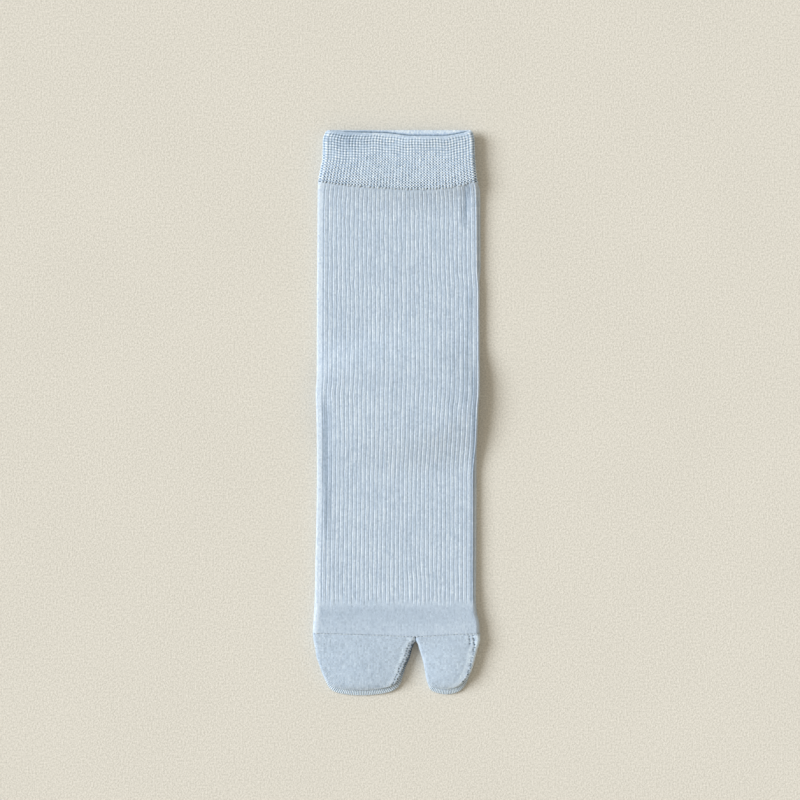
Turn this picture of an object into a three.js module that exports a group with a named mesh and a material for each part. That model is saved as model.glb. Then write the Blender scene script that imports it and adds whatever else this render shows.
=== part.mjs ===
// A pair of knitted split-toe socks, laid flat sole to sole: the right sock on top with its
// instep up, the left sock under it with its instep down.
// Millimetres, +Z up, +Y towards the cuffs, +X towards the big toes.
// Each piece is a wall of cloth round a flattened hollow, open where the next piece begins.

import * as THREE from 'three';

// ---- Driving dimensions, mm ----------------------------------------------------------

const GAP = 0.3; // between two pieces that meet at a seam or lie on each other
const LEG_WALL = 1.1; // ribbed cloth of leg and foot
const CUFF_WALL = 1.9; // double welt, two plies
const TOE_WALL = 1.2; // plain cloth of the pockets

const MOUTH_Y = 161.0; // back rim of the upper cuff
const LOWER_MOUTH_Y = 158.5; // the lower sock lies a little towards the toes
const CUFF_SEAM_Y = 131.4; // cuff meets leg, at the side folds
const RIB_END_Y = -109.5; // ribs end, plain toe band begins
const TOE_SEAM_Y = -125.4; // toe band meets the two pockets, at the side folds

const RIB_COUNT = 36; // across the instep side
const RIB_HEIGHT = 0.35;
const RIB_FADE = 3.0; // length in which a rib sinks into plain cloth

const HALF_WIDTH = 46; // of a sock laid flat, for the crown
const CROWN = 0.06; // a sock is this much thinner at its side folds than in the middle
const POCKET_CROWN = 0.14; // the same for a toe pocket, about its own middle
const POCKET_CROWN_RUN = 12; // length from the toe seam in which that crown takes over
const FOLD_DEPTH = 1.15; // width of a side fold, as a share of half its height

// The lower sock reaches further at its toes and lies a little to the right.
const LOWER_REACH = 1.098; // stretch of its pockets from the toe seam
const LOWER_SHIFT = 0.9;

// Side edges of leg and foot seen from above, and the lower sock's right edge.
const BODY = [
  { y: 161.0, left: -39.7, right: 42.5, lowRight: 42.0 },
  { y: 159.0, left: -41.1, right: 43.4, lowRight: 43.0 },
  { y: 155.6, left: -42.2, right: 44.1, lowRight: 43.8 },
  { y: 145.4, left: -42.4, right: 44.5, lowRight: 44.2 },
  { y: 140.8, left: -43.2, right: 44.8, lowRight: 44.5 },
  { y: 131.4, left: -44.8, right: 45.7, lowRight: 46.0 },
  { y: 126.0, left: -45.1, right: 45.9, lowRight: 47.5 },
  { y: 82.0, left: -45.4, right: 46.2, lowRight: 47.7 },
  { y: 70.0, left: -45.6, right: 46.9, lowRight: 46.6 },
  { y: 20.0, left: -45.6, right: 47.0, lowRight: 46.7 },
  { y: 11.0, left: -46.2, right: 46.9, lowRight: 46.6 },
  { y: 3.0, left: -45.9, right: 46.2, lowRight: 45.9 },
  { y: -15.0, left: -45.6, right: 45.6, lowRight: 45.4 },
  { y: -38.0, left: -45.6, right: 43.9, lowRight: 45.4 },
  { y: -84.0, left: -46.4, right: 43.9, lowRight: 45.3 },
  { y: -106.0, left: -46.8, right: 44.2, lowRight: 45.1 },
  { y: -113.4, left: -47.1, right: 44.8, lowRight: 45.4 },
  { y: -119.5, left: -47.6, right: 46.4, lowRight: 46.9 },
  { y: -125.4, left: -47.9, right: 46.6, lowRight: 47.1 },
];

// Side edges of the pocket for the four small toes, and of the big-toe pocket, whose right
// edge bulges out on the upper sock only.
const TOES = [
  { y: -125.4, left: -47.9, right: 10.35 },
  { y: -128.4, left: -47.6, right: 10.2 },
  { y: -131.7, left: -47.0, right: 8.4 },
  { y: -134.0, left: -46.5, right: 7.6 },
  { y: -138.5, left: -45.9, right: 6.2 },
  { y: -143.1, left: -44.3, right: 4.0 },
  { y: -147.6, left: -42.8, right: 2.4 },
  { y: -151.0, left: -41.2, right: 1.2 },
  { y: -153.5, left: -39.6, right: -0.4 },
  { y: -155.6, left: -36.9, right: -4.1 },
  { y: -156.9, left: -32.0, right: -10.0 },
  { y: -157.4, left: -27.5, right: -15.0 },
];
const BIG_TOE = [
  { y: -125.4, left: 10.65, right: 46.6, lowRight: 46.6 },
  { y: -128.4, left: 10.8, right: 46.9, lowRight: 46.3 },
  { y: -131.7, left: 12.0, right: 46.2, lowRight: 44.8 },
  { y: -134.0, left: 12.6, right: 45.4, lowRight: 44.2 },
  { y: -138.5, left: 14.0, right: 44.3, lowRight: 43.1 },
  { y: -143.1, left: 15.2, right: 43.1, lowRight: 41.8 },
  { y: -147.6, left: 16.0, right: 41.5, lowRight: 40.2 },
  { y: -151.0, left: 16.6, right: 39.5, lowRight: 38.8 },
  { y: -153.5, left: 17.3, right: 37.4, lowRight: 37.1 },
  { y: -155.4, left: 19.2, right: 34.9, lowRight: 34.9 },
  { y: -156.5, left: 22.2, right: 32.2, lowRight: 32.2 },
  { y: -156.9, left: 24.6, right: 30.0, lowRight: 30.0 },
];

// Height of one sock laid flat, in its middle.
const HEIGHT = [
  { y: 161.0, high: 4.4 },
  { y: 156.0, high: 4.6 },
  { y: 134.0, high: 4.6 },
  { y: 131.4, high: 4.4 },
  { y: 127.5, high: 3.6 },
  { y: 122.0, high: 3.0 },
  { y: 112.0, high: 2.7 },
  { y: 60.0, high: 2.6 },
  { y: 0.0, high: 2.6 },
  { y: -60.0, high: 2.6 },
  { y: -95.0, high: 2.8 },
  { y: -108.0, high: 3.4 },
  { y: -116.0, high: 3.7 },
  { y: -130.0, high: 3.8 },
  { y: -146.0, high: 3.6 },
  { y: -151.0, high: 3.4 },
  { y: -154.0, high: 3.0 },
  { y: -156.0, high: 2.4 },
  { y: -157.4, high: 1.5 },
];

// How far the cloth hangs towards the toes: the front panel at the mouth and the cuff seam,
// both panels at the toe seam.
const SAG = [
  { x: -43.0, mouth: 0.0, cuffSeam: 0.0, toeSeam: 0.0 },
  { x: -36.0, mouth: 0.6, cuffSeam: 0.9, toeSeam: 0.1 },
  { x: -25.0, mouth: 1.5, cuffSeam: 2.4, toeSeam: 0.4 },
  { x: -8.0, mouth: 1.9, cuffSeam: 3.5, toeSeam: 1.0 },
  { x: 10.0, mouth: 3.6, cuffSeam: 4.3, toeSeam: 1.7 },
  { x: 25.0, mouth: 3.7, cuffSeam: 3.7, toeSeam: 1.0 },
  { x: 36.0, mouth: 2.1, cuffSeam: 1.9, toeSeam: 0.4 },
  { x: 43.0, mouth: 0.0, cuffSeam: 0.0, toeSeam: 0.2 },
];
const MOUTH_SAG_RUN = 16; // lengths over which each sag dies out
const CUFF_SAG_RUN = 20;
const TOE_SAG_RUN = 7;

// The cuff gapes: its front panel stands off at the mouth.
const GAPE = { x: 16, width: 27, lift: 1.1, run: 13 };

// Soft troughs in the front panel of leg and foot.
const CREASES = [
  { name: 'dimple under the cuff', x1: 39.3, y1: 131, x2: 39.3, y2: 113, wide: 3.5, deep: 0.45 },
  { name: 'streak from the heel ear', x1: -40, y1: 10, x2: -40.5, y2: -38, wide: 3.2, deep: 0.45 },
  { name: 'pull of the heel corner', x1: 44.5, y1: -1, x2: 30, y2: -15, wide: 5, deep: 0.4 },
  { name: 'long slant below the heel', x1: 2, y1: 7, x2: 44, y2: -32, wide: 5, deep: 0.25 },
];

// Heel pouches, folded flat, two plies each: middle, half width, reach to leg and to toes.
const HEEL_HIGH = 2.1;
const HEEL_CORE = 0.8; // share of its outline in which the layers over it lie level
const HEEL_FALL = 1.4; // share at which they are down again
const HEEL_EASE = 0.2; // the layers over a heel stand off this much more than over a seam
const HEEL_GROOVE = 1.6; // depth of the groove between its two plies
const LEFT_HEEL = { x: 0.6, y: 9.0, half: 45.6, toLeg: 21, toToes: 25 };
const RIGHT_HEEL = { x: 0.4, y: 11.2, half: 46.0, toLeg: 20, toToes: 26 };

// ---- Curves --------------------------------------------------------------------------

const clamp = (value) => Math.min(1, Math.max(0, value));
const smooth = (value) => clamp(value) ** 2 * (3 - 2 * clamp(value));
const mix = (a, b, share) => a + (b - a) * share;

// A smooth curve through one column of a table that never overshoots its rows.
function curve(rows, column, along = 'y') {
  const sorted = [...rows].sort((a, b) => a[along] - b[along]);
  const at = sorted.map((row) => row[along]);
  const value = sorted.map((row) => row[column]);
  const step = at.slice(1).map((next, i) => (value[i + 1] - value[i]) / (next - at[i]));
  const slope = at.map((_, i) => {
    if (i === 0 || i === at.length - 1) return step[Math.min(i, step.length - 1)];
    const [before, after] = [step[i - 1], step[i]];
    return before * after <= 0 ? 0 : (2 * before * after) / (before + after);
  });
  return (where) => {
    if (where <= at[0]) return value[0];
    if (where >= at[at.length - 1]) return value[at.length - 1];
    const i = at.findIndex((next) => next > where) - 1;
    const span = at[i + 1] - at[i];
    const s = (where - at[i]) / span;
    const bend = s * s * (3 - 2 * s);
    const lead = s * (1 - s) * span * (slope[i] * (1 - s) - slope[i + 1] * s);
    return mix(value[i], value[i + 1], bend) + lead;
  };
}

const high = curve(HEIGHT, 'high');
const mouthSag = curve(SAG, 'mouth', 'x');
const cuffSeamSag = curve(SAG, 'cuffSeam', 'x');
const toeSeamSag = curve(SAG, 'toeSeam', 'x');

// How far a point moves towards the toes; `front` is 1 on the front panel, 0 on the back.
function sagAt(x, y, front) {
  const atMouth = smooth((y - MOUTH_Y + MOUTH_SAG_RUN) / MOUTH_SAG_RUN);
  const atCuffSeam = smooth(1 - Math.abs(y - CUFF_SEAM_Y) / CUFF_SAG_RUN);
  const atToeSeam = smooth(1 - Math.abs(y - TOE_SEAM_Y) / TOE_SAG_RUN);
  const frontOnly = mouthSag(x) * atMouth + cuffSeamSag(x) * atCuffSeam;
  return front * frontOnly + toeSeamSag(x) * atToeSeam;
}

// How far the front panel of the cuff stands off at the mouth.
function gape(x, y) {
  const across = smooth(1 - Math.abs(x - GAPE.x) / GAPE.width);
  return GAPE.lift * across * smooth((y - MOUTH_Y + GAPE.run) / GAPE.run);
}

// Depth of the soft troughs at a point of the front panel.
function creaseDepth(x, y) {
  let depth = 0;
  for (const { x1, y1, x2, y2, wide, deep } of CREASES) {
    const [dx, dy] = [x2 - x1, y2 - y1];
    const along = clamp(((x - x1) * dx + (y - y1) * dy) / (dx * dx + dy * dy));
    const away = Math.hypot(x - x1 - dx * along, y - y1 - dy * along);
    depth += deep * smooth(1 - away / wide);
  }
  return depth;
}

// Ribs run along the sock; `share` is how far across the front panel a point lies.
function ribHeight(share, y) {
  const wave = 0.5 - 0.5 * Math.cos(2 * Math.PI * RIB_COUNT * share);
  return RIB_HEIGHT * wave * smooth((y - RIB_END_Y) / RIB_FADE);
}

// ---- Stacking ------------------------------------------------------------------------

// Where a point lies in a heel's outline: 0 in its middle, 1 on its edge.
function heelShare(heel, x, y) {
  const reach = y > heel.y ? heel.toLeg : heel.toToes;
  return Math.hypot((x - heel.x) / heel.half, (y - heel.y) / reach);
}

// How far a folded heel lifts the layers that lie over it.
function heelLift(heel, x, y) {
  const fall = (heelShare(heel, x, y) - HEEL_CORE) / (HEEL_FALL - HEEL_CORE);
  return (HEEL_HIGH + GAP + HEEL_EASE) * (1 - smooth(fall));
}

// Height of a sock at a point, for leg and foot and for a pocket with edges of its own.
const bodyCrown = (x) => 1 - CROWN * (x / HALF_WIDTH) ** 2;
const bodyHigh = (x, y) => high(y) * bodyCrown(x);

function pocketHigh(edges, x, y) {
  const half = (edges.right(y) - edges.left(y)) / 2;
  const off = Math.min(1, Math.abs(x - edges.left(y) - half) / half);
  const own = smooth((TOE_SEAM_Y - y) / POCKET_CROWN_RUN);
  return edges.high(y) * mix(bodyCrown(x), 1 - POCKET_CROWN * off * off, own);
}

// ---- Walls ---------------------------------------------------------------------------

// One closed loop round a flattened sleeve: top panel from left to right, right fold,
// bottom panel back, left fold. `t` tells how far round a point is, 0 to 4, so that loops
// with unlike numbers of points still match.
function sleeveLoop(shape, y, inset, count) {
  const left = shape.left(y) + inset;
  const right = shape.right(y) - inset;
  const low = (x) => shape.under(x, y) + inset;
  const top = (x) => shape.under(x, y) + shape.high(x, y) - inset + shape.lift(x, y);
  const foldOf = (x) => (FOLD_DEPTH * (top(x) - low(x))) / 2;
  const foldLeft = foldOf(left);
  const foldRight = foldOf(right);
  const points = [];
  const put = (t, x, z, front) => {
    points.push({ t, at: new THREE.Vector3(x, y - shape.sag(x, y, front), z) });
  };
  for (let i = 0; i < count.top; i += 1) {
    const share = i / (count.top - 1);
    const x = mix(left + foldLeft, right - foldRight, share);
    const relief = inset === 0 ? shape.relief(share, x, y) : 0;
    put(share, x, top(x) + relief, 1);
  }
  const fold = (start, turnFrom, edge, deep, outward) => {
    const x0 = edge - outward * deep;
    const mid = (top(x0) + low(x0)) / 2;
    const half = (top(x0) - low(x0)) / 2;
    for (let k = 1; k <= count.fold; k += 1) {
      const share = k / (count.fold + 1);
      const angle = turnFrom * (Math.PI / 2 - Math.PI * share);
      const x = x0 + outward * deep * Math.cos(angle);
      put(start + share, x, mid + half * Math.sin(angle), Math.max(0, Math.sin(angle)));
    }
  };
  fold(1, 1, right, foldRight, 1);
  for (let i = 0; i < count.bottom; i += 1) {
    const share = i / (count.bottom - 1);
    const x = mix(right - foldRight, left + foldLeft, share);
    put(2 + share, x, low(x), 0);
  }
  fold(3, -1, left, foldLeft, -1);
  return points;
}

// A loop of one point that closes the end of a loop.
function endPoint(loop) {
  const at = new THREE.Vector3();
  loop.forEach((point) => at.add(point.at));
  return [{ t: 0, at: at.divideScalar(loop.length) }];
}

// Triangles between two loops that follow each other over a surface.
function stitch(triangles, near, far) {
  const next = (loop, i) => (i + 1 < loop.length ? loop[i + 1].t : 4);
  let i = near.length === 1 ? 1 : 0;
  let j = far.length === 1 ? 1 : 0;
  while (i < near.length || j < far.length) {
    const a = near[i % near.length];
    const b = far[j % far.length];
    const nearFirst = j >= far.length || (i < near.length && next(near, i) <= next(far, j));
    if (nearFirst) {
      i += 1;
      triangles.push(a, b, near[i % near.length]);
    } else {
      j += 1;
      triangles.push(a, b, far[j % far.length]);
    }
  }
}

function solid(name, triangles, color) {
  const geometry = new THREE.BufferGeometry().setFromPoints(triangles.map(({ at }) => at));
  geometry.computeVertexNormals();
  const material = new THREE.MeshStandardMaterial({ color, roughness: 0.92, metalness: 0 });
  const mesh = new THREE.Mesh(geometry, material);
  mesh.name = name;
  return mesh;
}

// A wall of cloth round a flattened hollow. The loops run from the far end of the hollow
// out to its mouth, over the rim and back along the outside. A pocket is closed at its tip.
function sleeve(name, color, shape) {
  const outer = shape.stations.map((y) => sleeveLoop(shape, y, 0, shape.outerCount));
  const inner = shape.stations
    .filter((y) => !shape.closed || y > shape.hollowEnd)
    .concat(shape.closed ? [shape.hollowEnd] : [])
    .map((y) => sleeveLoop(shape, y, shape.wall, shape.innerCount));
  const loops = [...inner.reverse(), ...outer];
  const triangles = [];
  if (shape.closed) {
    loops.unshift(endPoint(loops[0]));
    loops.push(endPoint(loops[loops.length - 1]));
  } else {
    loops.push(loops[0]);
  }
  for (let k = 0; k + 1 < loops.length; k += 1) stitch(triangles, loops[k], loops[k + 1]);
  return solid(name, triangles, color);
}

// ---- Heels ---------------------------------------------------------------------------

// A folded heel pouch: one rounded solid, grooved round its rim where its two plies part.
// `share` is how far out a loop lies, `level` how far up between the two faces.
const HEEL_PROFILE = [
  { share: 0.0, level: 0.0 },
  { share: 0.45, level: 0.0 },
  { share: 0.8, level: 0.0 },
  { share: 0.96, level: 0.02 },
  { share: 1.0, level: 0.24 },
  { share: 0.0, level: 0.47, groove: true },
  { share: 0.0, level: 0.53, groove: true },
  { share: 1.0, level: 0.76 },
  { share: 0.96, level: 0.98 },
  { share: 0.8, level: 1.0 },
  { share: 0.45, level: 1.0 },
  { share: 0.0, level: 1.0 },
];
const HEEL_POINTS = 32;

function heelPouch(name, color, heel, floor) {
  const loopAt = ({ share, level, groove }) => {
    const count = share === 0 && !groove ? 1 : HEEL_POINTS;
    const out = groove ? 1 - HEEL_GROOVE / heel.toLeg : share;
    return Array.from({ length: count }, (_, k) => {
      const angle = (2 * Math.PI * k) / HEEL_POINTS;
      const reach = Math.sin(angle) > 0 ? heel.toLeg : heel.toToes;
      const x = heel.x + heel.half * out * Math.cos(angle);
      const y = heel.y + reach * out * Math.sin(angle);
      const thick = HEEL_HIGH * (1 - 0.4 * smooth((out - 0.7) / 0.3));
      return { t: (4 * k) / HEEL_POINTS, at: new THREE.Vector3(x, y, floor(x, y) + thick * level) };
    });
  };
  const loops = HEEL_PROFILE.map(loopAt);
  const triangles = [];
  for (let k = 0; k + 1 < loops.length; k += 1) stitch(triangles, loops[k + 1], loops[k]);
  return solid(name, triangles, color);
}

// ---- The two socks -------------------------------------------------------------------

const CUFF_COLOR = 0xbacbd9;
const BODY_COLOR = 0xbeced9;
const TOE_COLOR = 0xbcccd8;

const none = () => 0;
const seam = GAP / 2;

const bodyEdges = { left: curve(BODY, 'left'), right: curve(BODY, 'right') };
const lowBodyEdges = {
  left: (y) => bodyEdges.left(y) + LOWER_SHIFT,
  right: curve(BODY, 'lowRight'),
};

// The edges of a pocket of the upper sock, and of the lower one, which reaches further.
function pocketEdges(rows) {
  const left = curve(rows, 'left');
  const right = curve(rows, 'right');
  const lowRight = curve(rows, 'lowRight' in rows[0] ? 'lowRight' : 'right');
  const tip = rows[rows.length - 1].y;
  const tipHigh = HEIGHT[HEIGHT.length - 1].y;
  const share = (tipHigh - TOE_SEAM_Y) / (tip - TOE_SEAM_Y);
  const own = (y) => high(TOE_SEAM_Y + (y - TOE_SEAM_Y) * share);
  const back = (y) => TOE_SEAM_Y + (y - TOE_SEAM_Y) / LOWER_REACH;
  const upper = { left, right, tip, high: own };
  const lower = {
    left: (y) => left(back(y)) + LOWER_SHIFT,
    right: (y) => lowRight(back(y)) + LOWER_SHIFT,
    tip: TOE_SEAM_Y + (tip - TOE_SEAM_Y) * LOWER_REACH,
    high: (y) => own(back(y)),
  };
  return { upper, lower };
}

const CUFF_STATIONS = [1, 0.8, 0.5, 0.2, 0]; // shares of the way from seam to mouth
const UPPER_TUBE_STATIONS = [
  124, 116, 107, 92, 75, 58, 44, 36, 30, 25, 19, 12, 5, -2, -9, -14, -19, -26, -38, -54, -72, -90,
  -104, -109.5, -114, -119.5,
];
const LOWER_TUBE_STATIONS = [124, 112, 82, 70, 20, 11, 3, -15, -38, -84, -100, -108, -116];
const POCKET_STATIONS = [0, 0.1, 0.2, 0.36, 0.56, 0.74, 0.88, 0.95, 0.985, 1]; // seam to tip
const HOLLOW_SHARE = 0.89; // a pocket's hollow ends short of its tip

function cuffStations(mouth) {
  return CUFF_STATIONS.map((share) => mix(CUFF_SEAM_Y + seam, mouth, share));
}

function tubeStations(between) {
  return [CUFF_SEAM_Y - seam, ...between, TOE_SEAM_Y + seam];
}

function pocket(name, edges, across, under, sag) {
  const base = TOE_SEAM_Y - seam;
  return sleeve(name, TOE_COLOR, {
    ...edges,
    wall: TOE_WALL,
    stations: POCKET_STATIONS.map((share) => mix(base, edges.tip, share)),
    closed: true,
    hollowEnd: mix(base, edges.tip, HOLLOW_SHARE),
    under,
    high: (x, y) => pocketHigh(edges, x, y),
    lift: none,
    relief: none,
    sag,
    outerCount: { top: across, fold: 3, bottom: 7 },
    innerCount: { top: 7, fold: 1, bottom: 5 },
  });
}

const toes = pocketEdges(TOES);
const bigToe = pocketEdges(BIG_TOE);

// Lower sock: instep down, flat on the surface.
const lower = {
  under: none,
  high: bodyHigh,
  lift: none,
  relief: none,
  sag: none,
  outerCount: { top: 13, fold: 3, bottom: 9 },
  innerCount: { top: 9, fold: 1, bottom: 7 },
};
const leftCuff = sleeve('left_cuff', CUFF_COLOR, {
  ...lowBodyEdges, ...lower, wall: CUFF_WALL, stations: cuffStations(LOWER_MOUTH_Y),
});
const leftTube = sleeve('left_tube', BODY_COLOR, {
  ...lowBodyEdges, ...lower, wall: LEG_WALL, stations: tubeStations(LOWER_TUBE_STATIONS),
});
const leftToes = pocket('left_toes', toes.lower, 13, none, none);
const leftBigToe = pocket('left_big_toe', bigToe.lower, 9, none, none);

// The heels lie between the two socks, each on the layers below it.
const onLowerBody = (x, y) => bodyHigh(x, y) + GAP;
const onLeftHeel = (x, y) => onLowerBody(x, y) + heelLift(LEFT_HEEL, x, y);
const onBothHeels = (x, y) => onLeftHeel(x, y) + heelLift(RIGHT_HEEL, x, y);
const onLowerPocket = (edges) => (x, y) => pocketHigh(edges, x, y) + GAP;
const leftHeel = heelPouch('left_heel', BODY_COLOR, LEFT_HEEL, onLowerBody);
const rightHeel = heelPouch('right_heel', BODY_COLOR, RIGHT_HEEL, onLeftHeel);

// Upper sock: instep up, following everything under it.
const rightCuff = sleeve('right_cuff', CUFF_COLOR, {
  ...bodyEdges,
  wall: CUFF_WALL,
  stations: cuffStations(MOUTH_Y),
  under: onLowerBody,
  high: bodyHigh,
  lift: gape,
  relief: none,
  sag: sagAt,
  outerCount: { top: 25, fold: 3, bottom: 13 },
  innerCount: { top: 13, fold: 1, bottom: 9 },
});
const rightTube = sleeve('right_tube', BODY_COLOR, {
  ...bodyEdges,
  wall: LEG_WALL,
  stations: tubeStations(UPPER_TUBE_STATIONS),
  under: onBothHeels,
  high: bodyHigh,
  lift: none,
  relief: (share, x, y) => ribHeight(share, y) - creaseDepth(x, y),
  sag: sagAt,
  outerCount: { top: 2 * RIB_COUNT + 1, fold: 3, bottom: 13 },
  innerCount: { top: 13, fold: 1, bottom: 13 },
});
const rightToes = pocket('right_toes', toes.upper, 25, onLowerPocket(toes.lower), sagAt);
const rightBigToe = pocket('right_big_toe', bigToe.upper, 15, onLowerPocket(bigToe.lower), sagAt);

const pair = new THREE.Group();
pair.add(leftCuff, leftTube, leftHeel, leftToes, leftBigToe);
pair.add(rightHeel, rightCuff, rightTube, rightToes, rightBigToe);

// The origin goes to the middle of the footprint, on the surface that the pair lies on.
const middle = new THREE.Box3().setFromObject(pair).getCenter(new THREE.Vector3());
pair.children.forEach((piece) => piece.geometry.translate(-middle.x, -middle.y, 0));

export default pair;
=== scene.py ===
import math

import bpy
import numpy as np
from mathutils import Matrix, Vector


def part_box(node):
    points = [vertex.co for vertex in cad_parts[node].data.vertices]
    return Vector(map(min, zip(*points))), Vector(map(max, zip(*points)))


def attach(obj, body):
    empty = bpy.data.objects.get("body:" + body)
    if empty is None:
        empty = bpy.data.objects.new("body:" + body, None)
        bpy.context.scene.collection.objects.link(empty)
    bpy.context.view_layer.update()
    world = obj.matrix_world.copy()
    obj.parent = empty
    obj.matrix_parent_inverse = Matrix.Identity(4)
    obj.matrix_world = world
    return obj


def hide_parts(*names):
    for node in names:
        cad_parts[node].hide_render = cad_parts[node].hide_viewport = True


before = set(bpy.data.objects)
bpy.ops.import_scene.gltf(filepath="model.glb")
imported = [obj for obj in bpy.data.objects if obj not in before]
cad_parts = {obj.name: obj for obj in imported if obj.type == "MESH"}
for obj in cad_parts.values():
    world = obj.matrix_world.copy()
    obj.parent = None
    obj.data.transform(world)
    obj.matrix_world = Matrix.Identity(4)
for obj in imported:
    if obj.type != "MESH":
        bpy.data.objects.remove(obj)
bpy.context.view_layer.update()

# ==== Leg and foot of the left sock, which lies underneath ====
# A tube of combed cotton knitted round and round, ribbed on its instep side and plain on its
# sole. It lies instep down, so its ribs press on the surface and only its side folds show.

MM = 0.001  # all sizes are millimetres, and Blender's unit is the metre
FULL_TURN = 2 * math.pi

GAP = 0.3  # between pieces that meet at a knitting change
LEG_WALL = 1.1
RIM_RADIUS = 0.25  # of the rounded edges of a wall
CUFF_SEAM = 131.4  # where cuff and leg meet, along the sock
RIB_END = -109.5  # the ribs stop here and the plain toe band begins
TOE_SEAM = -125.4  # where the toe band meets the two pockets

# Side edges of a sock laid flat. The lower sock has its own right edge.
BODY_EDGES = {
    "y": [161, 159, 155.6, 145.4, 140.8, 131.4, 126, 82, 70, 20, 11, 3, -15, -38, -84, -106,
          -113.4, -119.5, -125.4],
    "left": [-39.7, -41.1, -42.2, -42.4, -43.2, -44.8, -45.1, -45.4, -45.6, -45.6, -46.2, -45.9,
             -45.6, -45.6, -46.4, -46.8, -47.1, -47.6, -47.9],
    "right": [42.5, 43.4, 44.1, 44.5, 44.8, 45.7, 45.9, 46.2, 46.9, 47.0, 46.9, 46.2, 45.6, 43.9,
              43.9, 44.2, 44.8, 46.4, 46.6],
    "low_right": [42.0, 43.0, 43.8, 44.2, 44.5, 46.0, 47.5, 47.7, 46.6, 46.7, 46.6, 45.9, 45.4,
                  45.4, 45.3, 45.1, 45.4, 46.9, 47.1],
}
LOWER_SHIFT = 0.9  # the lower sock's left edge lies this far to the right

# Height of one sock laid flat, in its middle.
FLAT_HEIGHT = {
    "y": [161, 156, 134, 131.4, 127.5, 122, 112, 60, 0, -60, -95, -108, -116, -130, -146, -151,
          -154, -156, -157.4],
    "high": [4.4, 4.6, 4.6, 4.4, 3.6, 3.0, 2.7, 2.6, 2.6, 2.6, 2.8, 3.4, 3.7, 3.8, 3.6, 3.4,
             3.0, 2.4, 1.5],
}
HALF_WIDTH = 46.0
CROWN = 0.06  # a sock is this share thinner at its side folds than in the middle
FOLD_DEPTH = 1.15  # width of a side fold, as a share of half its height
DRIFT_FADE = 12  # the higher, the closer to the side folds ribs wander

RIBS = 36  # across the instep side, three wales each
FOLD_RIBS = 2  # that go round one side fold
RIB_HEIGHT = 0.36
CREST_AT = 0.2  # the first wale of a rib stands up as a narrow crest, at this share of its width
CREST_WIDE = 0.09
SECOND_AT = 0.56  # and its second wale stands up half as high
SECOND_HIGH = 0.5
CREST_SHARE = 0.45  # of a rib's height is its crest, and the rest is its rounded back
ROUND_LANES = 2 * (RIBS + FOLD_RIBS) + 2  # ribs once round a sock, and two to spare
RIB_STEPS = [0, 0.06, 0.12, 0.2, 0.28, 0.36, 0.47, 0.57, 0.7, 0.88]  # points across one rib
WALES_PER_RIB = 3
COURSE = 0.62  # length of one knitted row


def smooth(value):
    value = np.clip(value, 0, 1)
    return value * value * (3 - 2 * value)


def mix(first, last, share):
    return first + (last - first) * share


def curve(rows, column, along="y"):
    """A smooth curve through one column of a table that never overshoots its rows."""
    order = np.argsort(rows[along])
    at = np.array(rows[along], float)[order]
    value = np.array(rows[column], float)[order]
    step = np.diff(value) / np.diff(at)
    slope = np.r_[step[:1], np.zeros(len(at) - 2), step[-1:]]
    same = step[:-1] * step[1:] > 0
    slope[1:-1][same] = 2 * step[:-1][same] * step[1:][same] / (step[:-1] + step[1:])[same]

    def read(where):
        where = np.clip(where, at[0], at[-1])
        i = np.clip(np.searchsorted(at, where, side="right") - 1, 0, len(at) - 2)
        span = at[i + 1] - at[i]
        s = (where - at[i]) / span
        lead = s * (1 - s) * span * (slope[i] * (1 - s) - slope[i + 1] * s)
        return mix(value[i], value[i + 1], s * s * (3 - 2 * s)) + lead

    return read


high = curve(FLAT_HEIGHT, "high")
body_left = curve(BODY_EDGES, "left")
body_right = curve(BODY_EDGES, "right")
low_right = curve(BODY_EDGES, "low_right")

# What is taken off the tables' x and y to reach the frame's origin
MIDDLE_X = max(BODY_EDGES["low_right"]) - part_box("left_tube")[1][0] / MM
MIDDLE_Y = max(BODY_EDGES["y"]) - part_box("right_cuff")[1][1] / MM


def body_high(x, y):
    return high(y) * (1 - CROWN * (x / HALF_WIDTH) ** 2)


def nothing(*where):
    return 0.0


def lanes(steps, count, start):
    """Where a panel's points lie across it, counted in lanes from `start`."""
    inside = (start + np.add.outer(np.arange(count), steps)).ravel()
    return np.append(inside, start + count)


def round_sleeve(front, fold, back):
    """Lane numbers once round a sleeve: front panel, right fold, back panel, left fold."""
    return np.r_[front, fold[1:-1] + front[-1], back, fold[1:-1] + back[-1]]


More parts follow.
